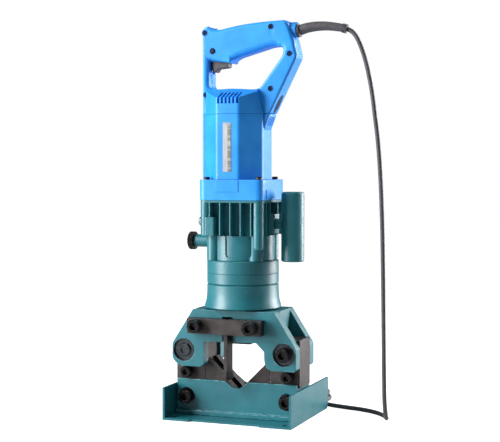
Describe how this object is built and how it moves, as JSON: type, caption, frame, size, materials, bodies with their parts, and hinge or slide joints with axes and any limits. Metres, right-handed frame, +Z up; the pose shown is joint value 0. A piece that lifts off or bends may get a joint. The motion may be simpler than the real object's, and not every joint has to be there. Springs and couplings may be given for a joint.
{
  "type": "angle steel shear",
  "caption": "Portable electric-hydraulic shear for angle steel: D-handle motor, finned pump, ram cylinder, plate frame with V dies and a base tray.",
  "frame": {"origin": "on the ram axis, on the flat underside of the base tray", "axes": "+Z up along the ram axis; +X along the frame plates towards the side grip; -Y the front, where the upper bar and hold-down arm are"},
  "size_m": [0.3369, 0.2623, 0.5321],
  "materials": {
    "teal_enamel": "glossy stoved enamel on steel and cast iron",
    "blue_plastic": "satin moulded glass-filled nylon",
    "black_steel": "black oxide on machined tool steel",
    "bright_steel": "ground and turned steel",
    "copper": "varnished windings and bare copper segments",
    "cord_rubber": "matte dark grey rubber",
    "dark_plastic": "dark grey moulded nylon",
    "navy_plastic": "dark blue moulded button"
  },
  "bodies": {
    "frame": {"bar_screw_left": "black_steel", "bar_screw_right": "black_steel", "base_tray": "teal_enamel", "carbon_brush_front": "dark_plastic", "carbon_brush_rear": "dark_plastic", "column_left": "black_steel", "column_right": "black_steel", "column_screw_left": "black_steel", "column_screw_right": "black_steel", "cord": "cord_rubber", "cord_boot": "cord_rubber", "cord_coil": "cord_rubber", "cord_plug": "dark_plastic", "cord_tail": "cord_rubber", "flange_screw_front_left": "black_steel", "flange_screw_front_right": "black_steel", "flange_screw_rear_left": "black_steel", "flange_screw_rear_right": "black_steel", "front_frame_plate": "teal_enamel", "front_lower_die": "black_steel", "gear_housing": "teal_enamel", "grip_neck": "teal_enamel", "handle_shell_front": "blue_plastic", "handle_shell_rear": "blue_plastic", "head_block": "teal_enamel", "hydraulic_cylinder": "teal_enamel", "lower_bearing": "bright_steel", "lower_block": "teal_enamel", "lower_block_screw_left": "black_steel", "lower_block_screw_right": "black_steel", "motor_flange": "blue_plastic", "motor_housing": "blue_plastic", "oil_filler_plug": "bright_steel", "plate_screw_left": "bright_steel", "plate_screw_right": "black_steel", "pump_body": "teal_enamel", "pump_plunger": "bright_steel", "rear_frame_plate": "teal_enamel", "rear_lower_die": "black_steel", "release_valve_body": "teal_enamel", "reservoir_ring": "teal_enamel", "side_grip": "teal_enamel", "stator": "copper", "top_bar": "black_steel", "trigger_switch": "dark_plastic", "upper_bearing": "bright_steel"},
    "ram": {"ram": "bright_steel", "piston_seal": "cord_rubber", "upper_blade": "black_steel", "blade_pin": "bright_steel", "return_spring": "bright_steel"},
    "hold_down": {"hold_down_arm": "black_steel"},
    "release_valve": {"release_knob": "black_steel"},
    "rotor": {"armature": "bright_steel", "cooling_fan": "dark_plastic", "commutator": "copper"},
    "pump_shaft": {"drive_wheel": "bright_steel", "eccentric_shaft": "bright_steel"},
    "trigger": {"trigger": "dark_plastic"},
    "lock": {"lock_button": "navy_plastic"}
  },
  "joints": [
    {"name": "ram_slide", "type": "slide", "parent": "frame", "child": "ram", "axis": [0, 0, -1], "range_m": [0, 0.064], "stiffness_N_per_m": 400, "springref_m": -0.05, "deforming": ["return_spring"]},
    {"name": "hold_down_slide", "type": "slide", "parent": "frame", "child": "hold_down", "axis": [0, 0, 1], "range_m": [0, 0.015]},
    {"name": "release_knob_turn", "type": "hinge", "parent": "frame", "child": "release_valve", "pos_m": [-0.074, 0, 0.2379], "axis": [-1, 0, 0], "range_deg": [0, 120]},
    {"name": "rotor_spin", "type": "hinge", "parent": "frame", "child": "rotor", "pos_m": [-0.00585, 0, 0.35], "axis": [0, 0, 1], "continuous": true},
    {"name": "pump_shaft_spin", "type": "hinge", "parent": "frame", "child": "pump_shaft", "pos_m": [0.01425, 0, 0.26], "axis": [0, 0, 1], "continuous": true},
    {"name": "trigger_squeeze", "type": "hinge", "parent": "frame", "child": "trigger", "pos_m": [-0.017, 0, 0.4858], "axis": [0, 1, 0], "range_deg": [0, 9], "stiffness_Nm_per_rad": 0.8, "springref_deg": -5.73},
    {"name": "lock_press", "type": "slide", "parent": "frame", "child": "lock", "axis": [0, 1, 0], "range_m": [0, 0.0018], "stiffness_N_per_m": 600, "springref_m": -0.001}
  ],
  "couplings": [
    {"joint": "pump_shaft_spin", "follows": "rotor_spin", "ratio": -0.33333}
  ]
}
